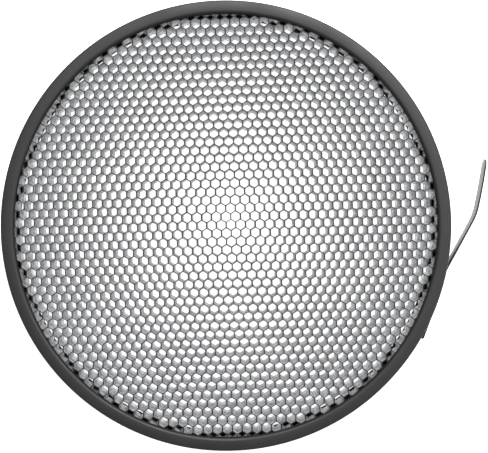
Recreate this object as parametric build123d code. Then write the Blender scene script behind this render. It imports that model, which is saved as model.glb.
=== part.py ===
from build123d import *
import math
import os

# Honeycomb grid for a round studio reflector.
# Millimetres. The grid lies on its rear face: the origin is the centre of that face,
# +Z runs along the grid's axis towards the front, and the spring tab is on the +X side.

# Rim: a strip of sheet metal rolled into a C-channel ring, open towards the centre
rim_diameter = 207.0
rim_depth = 18.0
rim_sheet = 0.8
flange_width = 6.3          # outside of the rim to the opening
corner_fold = 0.9           # 45 degree fold between wall and flange, measured on each
lip_fold = 0.6              # 45 degree fold that turns each flange edge in to the core

# Core: foil ribbons, folded in a zigzag and glued flat to flat
cell_size = 12.5            # across the flats of one cell
foil = 0.15
core_turn = 1.7             # degrees by which the ribbons lie off the Y axis
core_wall_clearance = 1.5   # cut edge of the core to the rim wall, free of the rivet tails
core_lip_clearance = 0.05   # face of the core to the turned-in lips

# Spring tab: one leaf of bare spring steel, riveted flat on the rim
leaf = 0.6
leaf_width = 8.0
leaf_clearance = 0.02       # seated part to rim wall
tail_length = 17.6          # straight end below the seated part, which stands off the rim
seat_end_angle = -13.0      # degrees round the rim, where the leaf leaves the wall
seat_angle = 7.4            # degrees of rim that the leaf lies on
root_bend = 15.6            # degrees the leaf turns off the rim
root_bend_radius = 14.0
shank_length = 24.3
shank_bend = 16.2           # degrees the leaf turns back
shank_bend_radius = 28.0
thumb_length = 22.4
thumb_radius = 260.0        # slow curve of the thumb end
thumb_corner = 3.6          # corner radius of the leaf's free end
tail_corner = 1.5
flex_gap = 0.3              # between root and arm, at the line where the leaf flexes

# Two flat-headed rivets hold the leaf
rivet_diameter = 3.0
rivet_head_diameter = 5.2
rivet_head = 0.4
rivet_tail_diameter = 4.4
rivet_tail = 0.9
rivet_clearance = 0.03      # shank to hole, all round
rivet_edge_angle = 1.8      # degrees from each end of the seat to its rivet

# What follows from those sizes
rim_radius = rim_diameter / 2
wall_radius = rim_radius - rim_sheet
opening_radius = rim_radius - flange_width
mid_depth = rim_depth / 2
core_radius = wall_radius - core_wall_clearance
core_base = lip_fold + rim_sheet * math.sqrt(0.5) + core_lip_clearance
leaf_radius = rim_radius + leaf_clearance + leaf / 2
seat_start_angle = seat_end_angle - seat_angle
rivet_angles = (seat_start_angle + rivet_edge_angle, seat_end_angle - rivet_edge_angle)


def channel_profile():
    """Front half of the rim's section: one folded line, given the sheet's thickness inwards."""
    outside = Polyline(
        (rim_radius, mid_depth),
        (rim_radius, rim_depth - corner_fold),
        (rim_radius - corner_fold, rim_depth),
        (opening_radius + lip_fold, rim_depth),
        (opening_radius, rim_depth - lip_fold),
    )
    return make_face(offset(outside, rim_sheet, side=Side.LEFT, kind=Kind.INTERSECTION))


def radial_bar(angle, start, end, diameter):
    """Round bar at mid depth, from one distance off the grid's axis to another."""
    bar = Cylinder(diameter / 2, end - start, align=(Align.CENTER, Align.CENTER, Align.MIN))
    return Rot(0, 0, angle) * Pos(start, 0, mid_depth) * Rot(0, 90, 0) * bar


def rivet_hole(angle):
    past_sheets = rim_sheet + leaf
    diameter = rivet_diameter + 2 * rivet_clearance
    return radial_bar(angle, wall_radius - past_sheets, leaf_radius + past_sheets, diameter)


def rim_channel():
    front_half = revolve(Plane.XZ * channel_profile(), Axis.Z)
    rim = front_half + mirror(front_half, Plane.XY.offset(mid_depth))
    return rim - [rivet_hole(angle) for angle in rivet_angles]


def ribbon_outline(left, right, first_middle):
    """Corners of one folded foil strip, whose flats lie in turn on two glue planes."""
    wall = cell_size / math.sqrt(3)
    mitre = math.tan(math.radians(30))
    flat_step = 1.5 * wall
    reach = math.ceil(core_radius / flat_step) + 1
    rising, falling = [], []
    for flat in range(-reach, reach + 1):
        side = 1 if flat % 2 else -1
        line = right - foil / 2 if flat % 2 else left + foil / 2
        for end in (-1, 1):
            height = first_middle + flat * flat_step + end * wall / 2
            shift = end * side * mitre * foil / 2
            rising.append((line + foil / 2, height + shift))
            falling.append((line - foil / 2, height - shift))
    return rising + falling[::-1]


def foil_ribbons():
    """Ribbons side by side across the core, each cut to the core's round outline."""
    disc = Circle(core_radius)
    spacing = cell_size / 2
    count = math.floor(2 * core_radius / spacing)
    half_fold = 1.5 * cell_size / math.sqrt(3)
    ribbons = []
    for index in range(count):
        left = (index - count / 2) * spacing
        outline = ribbon_outline(left, left + spacing, half_fold * (index % 2))
        strip = Rot(0, 0, core_turn) * make_face(Polyline(outline, close=True))
        longest_offcut = (strip & disc).faces().sort_by(SortBy.AREA)[-1]
        ribbon = extrude(longest_offcut, rim_depth - 2 * core_base, dir=(0, 0, 1))
        ribbons.append(Pos(0, 0, core_base) * ribbon)
    return ribbons


def on_rim(angle):
    """Point on the seated leaf's middle line."""
    return Vector(leaf_radius, 0, 0).rotate(Axis.Z, angle)


def round_rim(angle):
    """Direction in which the seated leaf runs there, towards the arm."""
    return Vector(0, 1, 0).rotate(Axis.Z, angle)


def bend_off_rim():
    """Middle line of the bend that lifts the leaf off the rim; the leaf flexes at its end."""
    return JernArc(on_rim(seat_end_angle), round_rim(seat_end_angle), root_bend_radius, -root_bend)


def leaf_along(lines, end, corner):
    """Leaf that follows joined lines, with the corners rounded at one of its ends."""
    path = Wire([line.edge() for line in lines])
    section = Plane(origin=path @ 0, x_dir=(0, 0, 1), z_dir=path % 0) * Rectangle(leaf_width, leaf)
    strip = Pos(0, 0, mid_depth) * sweep(section, path)
    across = [edge for edge in strip.edges() if abs(edge.length - leaf) < leaf / 100]
    tip = end + Vector(0, 0, mid_depth)
    nearest = sorted(across, key=lambda edge: (edge.center() - tip).length)[:2]
    return fillet(nearest, corner)


def tab_root():
    """Riveted part of the leaf: a straight tail, the seated stretch, the bend off the rim."""
    seat_start = on_rim(seat_start_angle)
    direction = round_rim(seat_start_angle)
    tail_end = seat_start - direction * tail_length
    tail = Line(tail_end, seat_start)
    seat = JernArc(seat_start, direction, leaf_radius, seat_angle)
    bend = bend_off_rim().edge().trim_to_length(0, bend_off_rim().length - flex_gap / 2)
    root = leaf_along([tail, seat, bend], tail_end, tail_corner)
    return root - [rivet_hole(angle) for angle in rivet_angles]


def tab_arm():
    """Free part of the leaf: a straight shank, the bend back, and the thumb end."""
    flex_line, direction = bend_off_rim() @ 1, bend_off_rim() % 1
    shank = Line(flex_line + direction * flex_gap / 2, flex_line + direction * shank_length)
    bend_back = JernArc(shank @ 1, direction, shank_bend_radius, shank_bend)
    thumb_turn = math.degrees(thumb_length / thumb_radius)
    thumb = JernArc(bend_back @ 1, bend_back % 1, thumb_radius, thumb_turn)
    return leaf_along([shank, bend_back, thumb], thumb @ 1, thumb_corner)


def tab_rivets():
    """Rivets with a flat head on the leaf and a formed tail inside the channel."""
    leaf_outside = leaf_radius + leaf / 2
    tail_outside = math.sqrt(wall_radius ** 2 - (rivet_tail_diameter / 2) ** 2)
    rivets = []
    for angle in rivet_angles:
        shank = radial_bar(angle, tail_outside, leaf_outside, rivet_diameter)
        head = radial_bar(angle, leaf_outside, leaf_outside + rivet_head, rivet_head_diameter)
        tail = radial_bar(angle, tail_outside - rivet_tail, tail_outside, rivet_tail_diameter)
        rivets.append((shank + head + tail).solid())
    return Compound(children=rivets)


os.makedirs("parts", exist_ok=True)
export_step(rim_channel(), "parts/rim_channel.step")
for number, ribbon in enumerate(foil_ribbons(), 1):
    export_step(ribbon, f"parts/foil_ribbon_{number:02d}.step")
export_step(tab_root(), "parts/tab_root.step")
export_step(tab_arm(), "parts/tab_arm.step")
export_step(tab_rivets(), "parts/tab_rivets.step")
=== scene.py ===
# %% [markdown]
# # Honeycomb grid for a studio reflector
#
# A grid is a shallow metal ring packed with foil cells. It narrows the beam of a flash head.
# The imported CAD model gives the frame: the rim, the riveted spring tab and a coarse core.
# This script keeps every place and size from that frame and builds the finished surfaces
# round it. All lengths here are in metres.

# %% Load the frame
import math

import bpy
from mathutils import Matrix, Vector, noise


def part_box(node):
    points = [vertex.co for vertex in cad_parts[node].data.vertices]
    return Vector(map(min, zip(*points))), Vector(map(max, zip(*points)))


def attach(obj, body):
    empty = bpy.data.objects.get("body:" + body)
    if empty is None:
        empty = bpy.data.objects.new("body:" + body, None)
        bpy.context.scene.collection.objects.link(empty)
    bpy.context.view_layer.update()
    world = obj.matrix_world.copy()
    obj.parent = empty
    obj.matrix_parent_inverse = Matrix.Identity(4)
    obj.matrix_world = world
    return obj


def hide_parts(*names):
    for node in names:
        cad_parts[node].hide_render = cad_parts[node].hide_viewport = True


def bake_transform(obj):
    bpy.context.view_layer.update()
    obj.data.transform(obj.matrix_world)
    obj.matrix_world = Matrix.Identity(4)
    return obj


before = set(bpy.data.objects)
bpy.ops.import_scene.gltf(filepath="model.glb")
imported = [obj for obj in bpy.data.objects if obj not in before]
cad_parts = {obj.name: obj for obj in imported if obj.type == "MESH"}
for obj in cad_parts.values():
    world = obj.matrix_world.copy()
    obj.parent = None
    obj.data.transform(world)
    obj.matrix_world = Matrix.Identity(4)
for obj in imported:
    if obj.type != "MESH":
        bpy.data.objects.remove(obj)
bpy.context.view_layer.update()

# %% [markdown]
# Everything is measured from the CAD nodes, so the looks follow the part if it changes.
# The rim node gives the outside radius and the depth. The ribbon nodes give the height
# band that the core fills.

# %% Sizes from the frame
MM = 0.001
SAME_PLACE = 0.01 * MM                   # points closer than this count as one
rim_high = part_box("rim_channel")[1]
rim_radius = rim_high.y
rim_depth = rim_high.z
core_nodes = [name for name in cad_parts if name.startswith("foil_ribbon_")]
middle_ribbon = sorted(core_nodes)[len(core_nodes) // 2]
core_low, core_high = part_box(middle_ribbon)
core_radius = core_high.y
print(f"rim radius {rim_radius / MM:.1f} mm, core {(core_high.z - core_low.z) / MM:.2f} mm deep")


# %% [markdown]
# Two habits keep operator modelling safe. Everything is deselected before a primitive is
# added, because an operator acts on all that is selected. And a finished piece gets its
# modifiers applied, so what is seen is the real mesh.

# %% Small modelling helpers
def select_only(*objects):
    """Leave edit mode and select just these objects."""
    if bpy.context.mode != "OBJECT":
        bpy.ops.object.mode_set(mode="OBJECT")
    bpy.ops.object.select_all(action="DESELECT")
    for item in objects:
        item.select_set(True)
    bpy.context.view_layer.objects.active = objects[0] if objects else None


def named(name):
    """Name the primitive that was just added, and put its place into its mesh."""
    piece = bpy.context.active_object
    piece.name = piece.data.name = name
    bpy.ops.object.transform_apply(location=True, rotation=True, scale=True)
    return piece


def edit(piece, kind):
    """Enter edit mode on a piece with nothing selected."""
    select_only(piece)
    bpy.ops.object.mode_set(mode="EDIT")
    bpy.ops.mesh.select_mode(type=kind)
    bpy.ops.mesh.select_all(action="DESELECT")


def pick(piece, part, wanted):
    """In edit mode, select only the vertices, edges or faces whose middle passes a test."""
    bpy.ops.mesh.select_all(action="DESELECT")
    bpy.ops.object.mode_set(mode="OBJECT")
    vertices = piece.data.vertices
    for item in getattr(piece.data, part):
        if part == "vertices":
            middle = item.co
        else:
            corners = [vertices[index].co for index in item.vertices]
            middle = sum(corners, Vector()) / len(corners)
        item.select = wanted(middle)
    bpy.ops.object.mode_set(mode="EDIT")


def add_modifier(piece, kind, **settings):
    """Add a modifier with its settings and apply it at once."""
    select_only(piece)
    modifier = piece.modifiers.new(kind.title(), kind)
    for key, value in settings.items():
        setattr(modifier, key, value)
    bpy.ops.object.modifier_apply(modifier=modifier.name)


def triangles(piece):
    return sum(len(face.vertices) - 2 for face in piece.data.polygons)


# %% [markdown]
# ## The foil core
#
# A real core is made of thin aluminium strips. Each one is folded in a zigzag, and every
# second flat is glued to the strip on its left, the others to the strip on its right. So
# the upright walls are two foils thick and the sloping walls are one. Real foil is a tenth
# of a millimetre or less. It is drawn a little thicker here, so that it shows.
#
# It could be made from a hexagon grid, but then no wall would be doubled. Folding one
# strip and laying copies side by side gives the right walls by itself. One pleat is four
# walls: a flat, a slope, a flat and a slope back. An Array modifier repeats the pleat.

# %% Fold one strip
CELL = 4.5 * MM
FOIL = 0.17 * MM
wall = CELL / math.sqrt(3)
pleat = 3 * wall
core_depth = core_high.z - core_low.z

select_only()
bpy.ops.mesh.primitive_plane_add(size=1, rotation=(0, math.pi / 2, 0))
bpy.ops.transform.resize(value=(1, wall, core_depth))
strip = named("foil_strip")
slope = Vector((CELL / 2 - FOIL, wall / 2, 0))
reach = wall / 2
edit(strip, "EDGE")
for step in (slope, Vector((0, wall, 0)), Vector((-slope.x, slope.y, 0))):
    pick(strip, "edges", lambda middle: middle.y > reach - SAME_PLACE and abs(middle.z) < MM)
    bpy.ops.mesh.extrude_edges_move(TRANSFORM_OT_translate={"value": step})
    reach += step.y
select_only(strip)
pleats = 2 * math.ceil(core_radius / pleat) + 2
add_modifier(
    strip, "ARRAY", count=pleats, use_relative_offset=False, use_constant_offset=True,
    constant_offset_displace=(0, pleat, 0), use_merge_vertices=True, merge_threshold=SAME_PLACE)
print(f"strip of {pleats} pleats, {len(strip.data.polygons)} walls")


# %% [markdown]
# The next strip is the same strip moved half a cell across and half a pleat along, which
# brings its flats against the free flats of its neighbour. Every second strip also lies a
# hair lower, as the saw leaves them. Each copy is trimmed to the core's round outline with
# Bisect: two flat cuts, square to the radius where they cross it.

# %% Lay the strips side by side and trim them
CORE_TURN = math.radians(1.7)
UNLEVEL = 0.02 * MM
strip_count = 2 * math.floor(2 * core_radius / CELL)
first_left = -strip_count / 2 * CELL / 2


def cut_outside(piece, point):
    """Remove what lies outside the plane through a point of the rim, square to its radius."""
    edit(piece, "VERT")
    bpy.ops.mesh.select_all(action="SELECT")
    bpy.ops.mesh.bisect(plane_co=point, plane_no=point.normalized(), clear_outer=True)
    select_only(piece)


strips = []
for index in range(strip_count):
    left = first_left + index * CELL / 2
    middle = left + CELL / 4
    half_chord = math.sqrt(core_radius ** 2 - middle ** 2)
    copy = strip.copy()
    copy.data = strip.data.copy()
    bpy.context.collection.objects.link(copy)
    along = (index % 2) * pleat / 2 - pleats // 2 * pleat
    for vertex in copy.data.vertices:
        vertex.co += Vector((left + FOIL / 2, along, (core_low.z + core_high.z) / 2))
        vertex.co.z -= UNLEVEL * (index % 2)
    for end in (-1, 1):
        cut_outside(copy, Vector((middle, end * half_chord, 0)))
    strips.append(copy)
bpy.data.objects.remove(strip)
print(len(strips), "strips")

# %% [markdown]
# Sawing the core to length leaves a burr on each cut edge, wider than the foil. So each wall
# is first cut just inside its two ends. Solidify then gives the foil its thickness, and a
# vertex group makes it over twice as wide at the very ends. The same faces get a nearly
# black colour below: painted shade that outlines every cell.
#
# Foil is soft, too. Handling leaves the cells slightly uneven, while the glued flats stay
# together. So one smooth noise field moves every strip alike: points that touch move
# by the same amount.

# %% Join, thicken, turn and disturb the core
BURR = 0.44 * MM
BURR_DEPTH = 0.2 * MM
UNEVEN = 0.09 * MM
UNEVEN_SIZE = 5.0 * MM
SAG = 0.5 * MM
SAG_SIZE = 90 * MM
select_only(*strips)
bpy.ops.object.join()
core = named("foil_core")
core_middle = (core_low.z + core_high.z) / 2
edit(core, "VERT")
for end in (-1, 1):
    bpy.ops.mesh.select_all(action="SELECT")
    cut = core_middle + end * (core_depth / 2 - BURR_DEPTH)
    bpy.ops.mesh.bisect(plane_co=(0, 0, cut), plane_no=(0, 0, 1))
select_only(core)
burr = core.vertex_groups.new(name="burr")
for vertex in core.data.vertices:
    at_end = abs(vertex.co.z - core_middle) > core_depth / 2 - BURR_DEPTH / 2
    burr.add([vertex.index], 1.0 if at_end else FOIL / BURR, "REPLACE")
add_modifier(core, "SOLIDIFY", thickness=BURR, offset=0, vertex_group="burr",
             thickness_vertex_group=0.0)
turn = Vector((math.cos(CORE_TURN), math.sin(CORE_TURN)))
for vertex in core.data.vertices:
    flat = Vector((vertex.co.x * turn.x - vertex.co.y * turn.y,
                   vertex.co.x * turn.y + vertex.co.y * turn.x, 0))
    uneven = noise.noise_vector(flat / UNEVEN_SIZE) * UNEVEN
    sag = noise.noise_vector(flat / SAG_SIZE) * SAG
    vertex.co.x = flat.x + uneven.x + sag.x
    vertex.co.y = flat.y + uneven.y + sag.y
bpy.ops.object.shade_flat()
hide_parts(*core_nodes)
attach(core, "frame")
print("core", triangles(core), "triangles")

# %% [markdown]
# ## The rim
#
# The rim is sheet metal rolled into a channel and then into a ring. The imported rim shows
# its bends as flat folds. Here its section is drawn once, its corners are rounded with
# Bevel, and Spin turns it round the axis. Spin is the right tool for anything rolled or
# turned: a cylinder would need its hollow cut out afterwards.

# %% Draw and spin the rim
SHEET = 0.8 * MM
FLANGE = 6.3 * MM
LIP = 1.8 * MM
CORNER_ROUND = 1.0 * MM
LIP_ROUND = 1.6 * MM
RIM_STEPS = 240
opening_radius = rim_radius - FLANGE

select_only()
bpy.ops.mesh.primitive_plane_add(size=1, rotation=(math.pi / 2, 0, 0))
rim = named("rim")
edit(rim, "VERT")
bpy.ops.mesh.select_all(action="SELECT")
bpy.ops.mesh.merge(type="CENTER")
bpy.ops.transform.translate(value=(opening_radius, 0, LIP))
section = (Vector((0, 0, -LIP)), Vector((FLANGE, 0, 0)), Vector((0, 0, rim_depth)),
           Vector((-FLANGE, 0, 0)), Vector((0, 0, -LIP)))
for step in section:
    bpy.ops.mesh.extrude_vertices_move(TRANSFORM_OT_translate={"value": step})
pick(rim, "vertices", lambda point: point.x > rim_radius - MM)
bpy.ops.mesh.bevel(offset=CORNER_ROUND, segments=5, affect="VERTICES")
pick(rim, "vertices", lambda point: point.x < opening_radius + MM
     and min(abs(point.z), abs(point.z - rim_depth)) < SAME_PLACE)
bpy.ops.mesh.bevel(offset=LIP_ROUND, segments=4, affect="VERTICES")
bpy.ops.mesh.select_all(action="SELECT")
bpy.ops.mesh.spin(steps=RIM_STEPS, angle=2 * math.pi, center=(0, 0, 0), axis=(0, 0, 1))
bpy.ops.mesh.select_all(action="SELECT")
bpy.ops.mesh.remove_doubles(threshold=SAME_PLACE)
bpy.ops.mesh.normals_make_consistent(inside=False)
select_only(rim)
add_modifier(rim, "SOLIDIFY", thickness=SHEET, offset=-1, use_even_offset=True)
bpy.ops.object.shade_smooth_by_angle(angle=math.radians(40))
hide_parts("rim_channel")
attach(rim, "frame")
print("rim", triangles(rim), "triangles", "box", [round(x / MM, 2) for x in rim.dimensions])

# %% [markdown]
# ## The spring tab
#
# The tab is one leaf of spring steel. It is riveted flat to the rim, bends off it, runs
# straight, and bends back to a thumb end. In the frame it is two rigid nodes, which are
# hidden; the finished leaf is one piece.
#
# A leaf is a strip that follows a path. It starts as a narrow plane standing on the rim,
# and its end edge is extruded step by step. Each step is worked out from the leaf's own
# sizes: a tail, the seated arc, the bend off the rim, the shank, the bend back, the thumb.

# %% Lay out the leaf's middle line
LEAF = 0.6 * MM
LEAF_WIDTH = 8.0 * MM
LEAF_SEAT = 0.02 * MM
TAIL = 17.6 * MM
SEAT_END = math.radians(-13.0)
SEAT_ANGLE = math.radians(7.4)
ROOT_BEND = math.radians(15.6)
ROOT_BEND_RADIUS = 14.0 * MM
SHANK = 24.3 * MM
SHANK_BEND = math.radians(16.2)
SHANK_BEND_RADIUS = 28.0 * MM
THUMB = 22.4 * MM
THUMB_RADIUS = 260.0 * MM
STEP = 0.5 * MM
leaf_radius = rim_radius + LEAF_SEAT + LEAF / 2
mid_depth = rim_depth / 2
seat_start = SEAT_END - SEAT_ANGLE
stretches = (                            # length, and the turn over it
    (TAIL, 0.0),
    (leaf_radius * SEAT_ANGLE, SEAT_ANGLE),
    (ROOT_BEND_RADIUS * ROOT_BEND, -ROOT_BEND),
    (SHANK, 0.0),
    (SHANK_BEND_RADIUS * SHANK_BEND, SHANK_BEND),
    (THUMB, THUMB / THUMB_RADIUS),
)


def leaf_line():
    """Points along the middle of the leaf, a step apart, from the tail to the thumb."""
    heading = seat_start + math.pi / 2
    tail = Vector((math.cos(heading), math.sin(heading), 0)) * TAIL
    start = Vector((math.cos(seat_start), math.sin(seat_start), 0)) * leaf_radius
    point = start - tail + Vector((0, 0, mid_depth))
    points = [point.copy()]
    for length, turn_angle in stretches:
        steps = max(1, round(length / STEP))
        for _ in range(steps):
            heading += turn_angle / steps / 2
            chord = length / steps
            point = point + Vector((math.cos(heading), math.sin(heading), 0)) * chord
            points.append(point.copy())
            heading += turn_angle / steps / 2
    return points


line = leaf_line()
print(len(line), "points, thumb tip at", [round(value / MM, 1) for value in line[-1]])

# %% [markdown]
# The ends of the leaf are rounded, so near each end the strip gets narrower as a circle
# does. The end edge is resized after each step. Solidify gives the steel its thickness,
# and a small Bevel breaks the sheared edges so that they catch light.

# %% Draw the leaf
TAIL_ROUND = 1.5 * MM
THUMB_ROUND = 3.6 * MM
EDGE_BREAK = 0.08 * MM


def leaf_height(from_tail, to_tip):
    """Width of the leaf at a place, given its distance from each end."""
    height = LEAF_WIDTH
    for distance, radius in ((from_tail, TAIL_ROUND), (to_tip, THUMB_ROUND)):
        if distance < radius:
            height -= 2 * (radius - math.sqrt(radius ** 2 - (radius - distance) ** 2))
    return height


travelled = [0.0]
for before, after in zip(line, line[1:]):
    travelled.append(travelled[-1] + (after - before).length)
heights = [leaf_height(place, travelled[-1] - place) for place in travelled]

select_only()
bpy.ops.mesh.primitive_plane_add(size=1, rotation=(0, math.pi / 2, 0))
leaf = named("tab_leaf")
edit(leaf, "EDGE")
pick(leaf, "edges", lambda middle: middle.y < -0.4)
bpy.ops.mesh.delete(type="EDGE")
pick(leaf, "edges", lambda middle: middle.y > 0.4)
bpy.ops.transform.resize(value=(1, 1, heights[0]))
bpy.ops.transform.translate(value=line[0] - Vector((0, 0.5, 0)))
for before, after, low, high in zip(line, line[1:], heights, heights[1:]):
    bpy.ops.mesh.extrude_edges_move(TRANSFORM_OT_translate={"value": after - before})
    bpy.ops.transform.resize(value=(1, 1, high / low), center_override=after)
bpy.ops.mesh.select_all(action="SELECT")
bpy.ops.mesh.delete_loose()
select_only(leaf)
add_modifier(leaf, "SOLIDIFY", thickness=LEAF, offset=0, use_even_offset=True)
add_modifier(leaf, "BEVEL", width=EDGE_BREAK, segments=2, limit_method="ANGLE",
             angle_limit=math.radians(50))
bpy.ops.object.shade_smooth_by_angle(angle=math.radians(35))
print("leaf", triangles(leaf), "triangles", [round(value / MM, 1) for value in leaf.dimensions])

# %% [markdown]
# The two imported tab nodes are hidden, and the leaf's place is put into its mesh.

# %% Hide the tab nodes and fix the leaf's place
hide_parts("tab_root", "tab_arm")
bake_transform(leaf)

# %% [markdown]
# ## The rivets
#
# Each rivet is a short round bar with a flat head outside and a formed tail inside. The
# imported node has plain discs, so new ones get a rounded brim: Bevel softens the edge of a
# cylinder's outer cap.

# %% Set the rivets
HEAD_RADIUS = 2.6 * MM
HEAD_HEIGHT = 0.4 * MM
TAIL_RADIUS = 2.2 * MM
TAIL_HEIGHT = 0.9 * MM
SHANK_RADIUS = 1.5 * MM
SHANK_PLAY = 0.03 * MM
RIVET_ANGLES = (math.radians(-18.6), math.radians(-14.8))
BRIM = 0.15 * MM
rivets = []


def disc(angle, start, end, radius, crowned):
    """Round disc that looks outwards from the grid's axis, from one distance to another."""
    out = Vector((math.cos(angle), math.sin(angle), 0))
    select_only()
    bpy.ops.mesh.primitive_cylinder_add(
        vertices=40, radius=radius, depth=abs(end - start),
        location=out * (start + end) / 2 + Vector((0, 0, mid_depth)),
        rotation=(0, math.pi / 2, angle))
    piece = named("rivet_part")
    if crowned:
        edit(piece, "FACE")
        pick(piece, "polygons", lambda middle: abs(middle.dot(out) - end) < SAME_PLACE)
        bpy.ops.mesh.bevel(offset=BRIM, segments=3, affect="EDGES")
        select_only(piece)
    rivets.append(piece)


leaf_outside = leaf_radius + LEAF / 2
wall_inside = rim_radius - SHEET - SHANK_PLAY
for angle in RIVET_ANGLES:
    disc(angle, leaf_outside, leaf_outside + HEAD_HEIGHT, HEAD_RADIUS, True)
    disc(angle, wall_inside, leaf_outside, SHANK_RADIUS, False)
    disc(angle, wall_inside, wall_inside - TAIL_HEIGHT, TAIL_RADIUS, True)
select_only(*rivets)
bpy.ops.object.join()
rivet_pair = named("tab_rivet_pair")
bpy.ops.object.shade_smooth_by_angle(angle=math.radians(35))
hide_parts("tab_rivets")
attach(rivet_pair, "frame")
print("rivets", triangles(rivet_pair), "triangles")

# %% [markdown]
# ## Finishes
#
# Colours are given as sRGB hex values, as a colour picker shows them, and turned to the
# linear values that shaders use. One function adds a node: plain values are set on its
# sockets, and another node's output is linked. The typical value of a finish stays on the
# shader's own sockets, where nodes vary it, for a viewer that doesn't run the nodes.

# %% Material helpers
def colour(code):
    """Linear RGBA from an sRGB hex code."""
    channels = [int(code[place:place + 2], 16) / 255 for place in (1, 3, 5)]
    return [value / 12.92 if value <= 0.04045 else ((value + 0.055) / 1.055) ** 2.4
            for value in channels] + [1.0]


def add_node(tree, kind, sockets=None, **settings):
    """Add a node, set its properties, and fill or link its sockets."""
    made = tree.nodes.new(kind)
    for key, value in settings.items():
        setattr(made, key, value)
    for key, value in (sockets or {}).items():
        if isinstance(value, bpy.types.NodeSocket):
            tree.links.new(value, made.inputs[key])
        else:
            made.inputs[key].default_value = value
    return made


def new_material(name, **sockets):
    """Material with a Principled shader whose plain values are set on its own sockets."""
    material = bpy.data.materials.new(name)
    material.use_nodes = True
    shader = material.node_tree.nodes["Principled BSDF"]
    for key, value in sockets.items():
        shader.inputs[key.replace("_", " ").title()].default_value = value
    place = add_node(material.node_tree, "ShaderNodeTexCoord").outputs["Object"]
    return material, material.node_tree, shader, place


def wear(piece, material, edges=None, is_edge=None):
    """Give a piece its finish, and another one to the faces that a test picks."""
    piece.data.materials.clear()
    piece.data.materials.append(material)
    if edges:
        piece.data.materials.append(edges)
        for face in piece.data.polygons:
            face.material_index = is_edge(face)
    print(piece.name, "wears", [finish.name for finish in piece.data.materials])


# %% [markdown]
# **Rim: matt black powder coat on sheet metal.** Powder melts into a skin with a fine
# orange-peel grain, about half a millimetre from bump to bump, drawn at nearly one so that
# it shows. It is dark grey rather than black, with a broad soft sheen on it, and larger
# patches change the sheen a little.

# %% Powder coat
def powder_coat():
    """Dark grey skin with a fine grain and a soft, slightly patchy sheen."""
    material, tree, shader, place = new_material(
        "matt_black_powder_coat", base_color=colour("#1e1e1f"), roughness=0.55)
    grain = add_node(tree, "ShaderNodeTexNoise", {
        "Vector": place, "Scale": 1 / (0.9 * MM), "Detail": 3.0})
    patches = add_node(tree, "ShaderNodeTexNoise", {
        "Vector": place, "Scale": 1 / (18 * MM), "Detail": 2.0})
    sheen = add_node(tree, "ShaderNodeMapRange", {
        "Value": patches.outputs["Fac"], "From Min": 0.3, "From Max": 0.7,
        "To Min": 0.46, "To Max": 0.56})
    bump = add_node(tree, "ShaderNodeBump", {
        "Height": grain.outputs["Fac"], "Strength": 0.35, "Distance": 0.05 * MM})
    tree.links.new(sheen.outputs["Result"], shader.inputs["Roughness"])
    tree.links.new(bump.outputs["Normal"], shader.inputs["Normal"])
    return material


wear(rim, powder_coat())

# %% [markdown]
# **Core: bare aluminium foil, mill finish.** Rolling leaves fine lines along the strip and
# a satin surface, and air dulls it in patches to a light grey. The lines are a few
# hundredths of a millimetre apart on real foil, too fine to show, so they are drawn at half
# a millimetre. Folding and pulling the strips open leaves shallow dents, a millimetre or
# so across, which break up the light on each wall.
#
# ** Its sawn ends** are drawn rough and nearly black: painted shade that outlines each cell.

# %% Foil
def mill_foil():
    """Light grey satin metal with dull patches, roll lines and shallow dents."""
    material, tree, shader, place = new_material(
        "mill_finish_aluminium_foil", base_color=colour("#c9cacc"), metallic=1.0, roughness=0.6)
    tone = add_node(tree, "ShaderNodeTexNoise", {
        "Vector": place, "Scale": 1 / (2.5 * MM), "Detail": 3.0})
    dull = add_node(tree, "ShaderNodeMapRange", {
        "Value": tone.outputs["Fac"], "From Min": 0.35, "From Max": 0.6})
    ramp = add_node(tree, "ShaderNodeMix", {
        "Factor": dull.outputs["Result"],
        "A": colour("#b4b5b7"), "B": colour("#fafbfc")}, data_type="RGBA")
    lines = add_node(tree, "ShaderNodeMapping", {
        "Vector": place, "Scale": (60, 60, 1 / (0.5 * MM))})
    rolled = add_node(tree, "ShaderNodeTexNoise", {
        "Vector": lines.outputs["Vector"], "Scale": 1.0, "Detail": 2.0})
    dents = add_node(tree, "ShaderNodeTexNoise", {
        "Vector": place, "Scale": 1 / (1.2 * MM), "Detail": 2.0})
    height = add_node(tree, "ShaderNodeMath", {
        0: rolled.outputs["Fac"], 1: dents.outputs["Fac"]}, operation="ADD")
    satin = add_node(tree, "ShaderNodeMapRange", {
        "Value": dents.outputs["Fac"], "From Min": 0.3, "From Max": 0.7,
        "To Min": 0.5, "To Max": 0.7})
    bump = add_node(tree, "ShaderNodeBump", {
        "Height": height.outputs["Value"], "Strength": 0.5, "Distance": 0.15 * MM})
    tree.links.new(ramp.outputs["Result"], shader.inputs["Base Color"])
    tree.links.new(satin.outputs["Result"], shader.inputs["Roughness"])
    tree.links.new(bump.outputs["Normal"], shader.inputs["Normal"])
    return material


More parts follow.
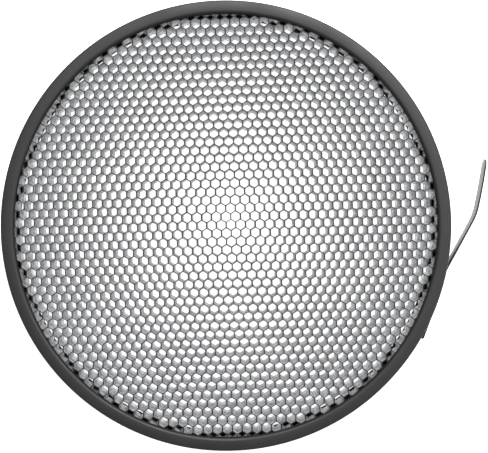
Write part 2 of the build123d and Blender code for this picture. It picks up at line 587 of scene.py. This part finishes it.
def painted_shade_edge(name):
    """Nearly black, rough edge: painted shade that outlines the cut and sheared edges."""
    # The nearly black base colour and its dark mottle are painted shade.
    material, tree, shader, place = new_material(
        name, base_color=colour("#161617"), metallic=0.0, roughness=0.7)
    shade_mottle = add_node(tree, "ShaderNodeTexNoise", {
        "Vector": place, "Scale": 1 / (1.5 * MM), "Detail": 2.0})
    ramp = add_node(tree, "ShaderNodeMix", {
        "Factor": shade_mottle.outputs["Fac"],
        "A": colour("#0c0c0d"), "B": colour("#262627")}, data_type="RGBA")
    torn = add_node(tree, "ShaderNodeMapRange", {
        "Value": shade_mottle.outputs["Fac"], "From Min": 0.3, "From Max": 0.7,
        "To Min": 0.6, "To Max": 0.8})
    bump = add_node(tree, "ShaderNodeBump", {
        "Height": shade_mottle.outputs["Fac"], "Strength": 0.4, "Distance": 0.05 * MM})
    tree.links.new(torn.outputs["Result"], shader.inputs["Roughness"])
    tree.links.new(bump.outputs["Normal"], shader.inputs["Normal"])
    tree.links.new(ramp.outputs["Result"], shader.inputs["Base Color"])
    return material


# The burr faces at both sawn ends get the nearly black painted shade.
wear(core, mill_foil(), painted_shade_edge("foil_edge_painted_shade"),
     lambda face: abs(face.center.z - core_middle) > core_depth / 2 - BURR_DEPTH)

# %% [markdown]
# ** Leaf: cold-rolled spring steel, bare.** It is grey and satin, with a fine grain along
# its length from the rolls. The grain is drawn 0.15 mm wide so that it shows. A band beside
# each long edge is painted dark in its colour and its specular tint, and the sheared edges
# are nearly black: both are painted shade. The tint keeps tempered steel from turning white
# where it is seen edge-on.
#
# **Rivets: zinc-plated steel.** They are lighter, with small soft spots from the plating.

# %% Spring steel and rivet steel
# Painted shade: the leaf's colour and specular tint turn dark in a band beside each long edge.
SHADE_BAND_START = 0.9 * MM                    # from the leaf's edge, where its middle tone ends
SHADE_BAND_FULL = 0.5 * MM
EDGE_TILT = 0.3                          # a face that looks up or down more than this is edge


def spring_steel():
    """Grey satin steel with a long grain, and painted shade in bands beside its edges."""
    material, tree, shader, place = new_material(
        "bare_spring_steel", base_color=colour("#7a7a79"), metallic=1.0, roughness=0.32,
        specular_tint=colour("#cccccc"))
    depth = add_node(tree, "ShaderNodeSeparateXYZ", {"Vector": place}).outputs["Z"]
    off_middle = add_node(tree, "ShaderNodeMath", {0: depth, 1: mid_depth}, operation="SUBTRACT")
    distance = add_node(tree, "ShaderNodeMath", {
        0: off_middle.outputs["Value"]}, operation="ABSOLUTE")
    # Painted shade: darker colour and specular tint near the long edges.
    shade_band = add_node(tree, "ShaderNodeMapRange", {
        "Value": distance.outputs["Value"], "From Min": LEAF_WIDTH / 2 - SHADE_BAND_START,
        "From Max": LEAF_WIDTH / 2 - SHADE_BAND_FULL})
    tone = add_node(tree, "ShaderNodeMix", {
        "Factor": shade_band.outputs["Result"],
        "A": colour("#7a7a79"), "B": colour("#1c1c1c")}, data_type="RGBA")
    specular_tint_and_shade = add_node(tree, "ShaderNodeMix", {
        "Factor": shade_band.outputs["Result"],
        "A": colour("#cccccc"), "B": colour("#505050")}, data_type="RGBA")
    along = add_node(tree, "ShaderNodeMapping", {
        "Vector": place, "Scale": (50, 50, 1 / (0.15 * MM))})
    grain = add_node(tree, "ShaderNodeTexNoise", {
        "Vector": along.outputs["Vector"], "Scale": 1.0, "Detail": 3.0})
    satin = add_node(tree, "ShaderNodeMapRange", {
        "Value": grain.outputs["Fac"], "From Min": 0.3, "From Max": 0.7,
        "To Min": 0.26, "To Max": 0.4})
    bump = add_node(tree, "ShaderNodeBump", {
        "Height": grain.outputs["Fac"], "Strength": 0.25, "Distance": 0.02 * MM})
    tree.links.new(tone.outputs["Result"], shader.inputs["Base Color"])
    tree.links.new(specular_tint_and_shade.outputs["Result"], shader.inputs["Specular Tint"])
    tree.links.new(satin.outputs["Result"], shader.inputs["Roughness"])
    tree.links.new(bump.outputs["Normal"], shader.inputs["Normal"])
    return material


def rivet_steel():
    """Light plated steel whose gloss varies in small spots."""
    material, tree, shader, place = new_material(
        "zinc_plated_rivet_steel", base_color=colour("#a9abac"), metallic=1.0, roughness=0.38)
    spots = add_node(tree, "ShaderNodeTexNoise", {
        "Vector": place, "Scale": 1 / (0.7 * MM), "Detail": 2.0})
    satin = add_node(tree, "ShaderNodeMapRange", {
        "Value": spots.outputs["Fac"], "From Min": 0.3, "From Max": 0.7,
        "To Min": 0.3, "To Max": 0.5})
    bump = add_node(tree, "ShaderNodeBump", {
        "Height": spots.outputs["Fac"], "Strength": 0.3, "Distance": 0.02 * MM})
    tree.links.new(bump.outputs["Normal"], shader.inputs["Normal"])
    tree.links.new(satin.outputs["Result"], shader.inputs["Roughness"])
    return material


# The faces that look up or down, the leaf's sheared edges, get the nearly black painted shade.
wear(leaf, spring_steel(), painted_shade_edge("steel_edge_painted_shade"),
     lambda face: abs(face.normal.z) > EDGE_TILT)
wear(rivet_pair, rivet_steel())

# %% [markdown]
# ## Stage, light and camera
#
# The grid lies on a pale table that glows softly, as a light table does, so that the
# cells are bright all the way through. It belongs to no body.

# %% Floor
FLOOR_SIZE = 6.0
FLOOR_GAP = 0.05 * MM                    # keeps the rim's rear face clear of the floor


def glowing_floor():
    """Pale table that glows evenly."""
    material, tree, shader, place = new_material(
        "pale_table", base_color=colour("#f4f4f2"), roughness=0.8,
        emission_color=colour("#ffffff"), emission_strength=1.0)
    return material


select_only()
bpy.ops.mesh.primitive_plane_add(size=FLOOR_SIZE, location=(0, 0, -FLOOR_GAP))
floor = named("floor")
wear(floor, glowing_floor())

# %% [markdown]
# One large soft light stands beyond the far side of the grid and above it. It lights the
# near walls of the cells and lays a sheen on the far side of the rim, and a weak one fills.

# %% Lights
WORLD_LIGHT = 0.3


def softbox(name, place, size, power):
    """Square area light that faces the grid."""
    light = bpy.data.lights.new(name, "AREA")
    light.size = size
    light.energy = power
    holder = bpy.data.objects.new(name, light)
    holder.location = place
    holder.rotation_euler = Vector(place).to_track_quat("Z", "Y").to_euler()
    bpy.context.collection.objects.link(holder)


softbox("key_softbox", (0.18, 0.62, 0.97), 0.6, 17.0)
softbox("fill_softbox", (0.9, -0.1, 0.9), 0.7, 3.0)
world = bpy.data.worlds.new("studio")
world.use_nodes = True
world.node_tree.nodes["Background"].inputs["Color"].default_value = colour("#ffffff")
world.node_tree.nodes["Background"].inputs["Strength"].default_value = WORLD_LIGHT
bpy.context.scene.world = world
bpy.context.scene.view_settings.view_transform = "Standard"
print("lights", [item.name for item in bpy.data.lights])

# %% [markdown]
# The camera looks straight down the grid's axis from about half a metre, a little to the
# tab side of the centre. The cell walls open out round the point just below it. A small
# shift frames the rim and the tab without tilting the view.

# %% Camera
CAMERA_PLACE = Vector((2.5 * MM, 3.5 * MM, 498 * MM))
VIEW_MIDDLE = Vector((8.27 * MM, -0.42 * MM))
VIEW_WIDTH = 224.0 * MM
FRAMED_BELOW_FACE = 0.9 * MM             # the view's width is measured this far below it
distance = CAMERA_PLACE.z - (rim_depth - FRAMED_BELOW_FACE)
camera = bpy.data.cameras.new("camera")
camera.sensor_width = 36.0
camera.lens = camera.sensor_width * distance / VIEW_WIDTH
camera.shift_x = (VIEW_MIDDLE.x - CAMERA_PLACE.x) / VIEW_WIDTH
camera.shift_y = (VIEW_MIDDLE.y - CAMERA_PLACE.y) / VIEW_WIDTH
viewer = bpy.data.objects.new("camera", camera)
viewer.location = CAMERA_PLACE
bpy.context.collection.objects.link(viewer)
bpy.context.scene.camera = viewer
print(f"lens {camera.lens:.1f} mm, {distance / MM:.0f} mm from the grid")
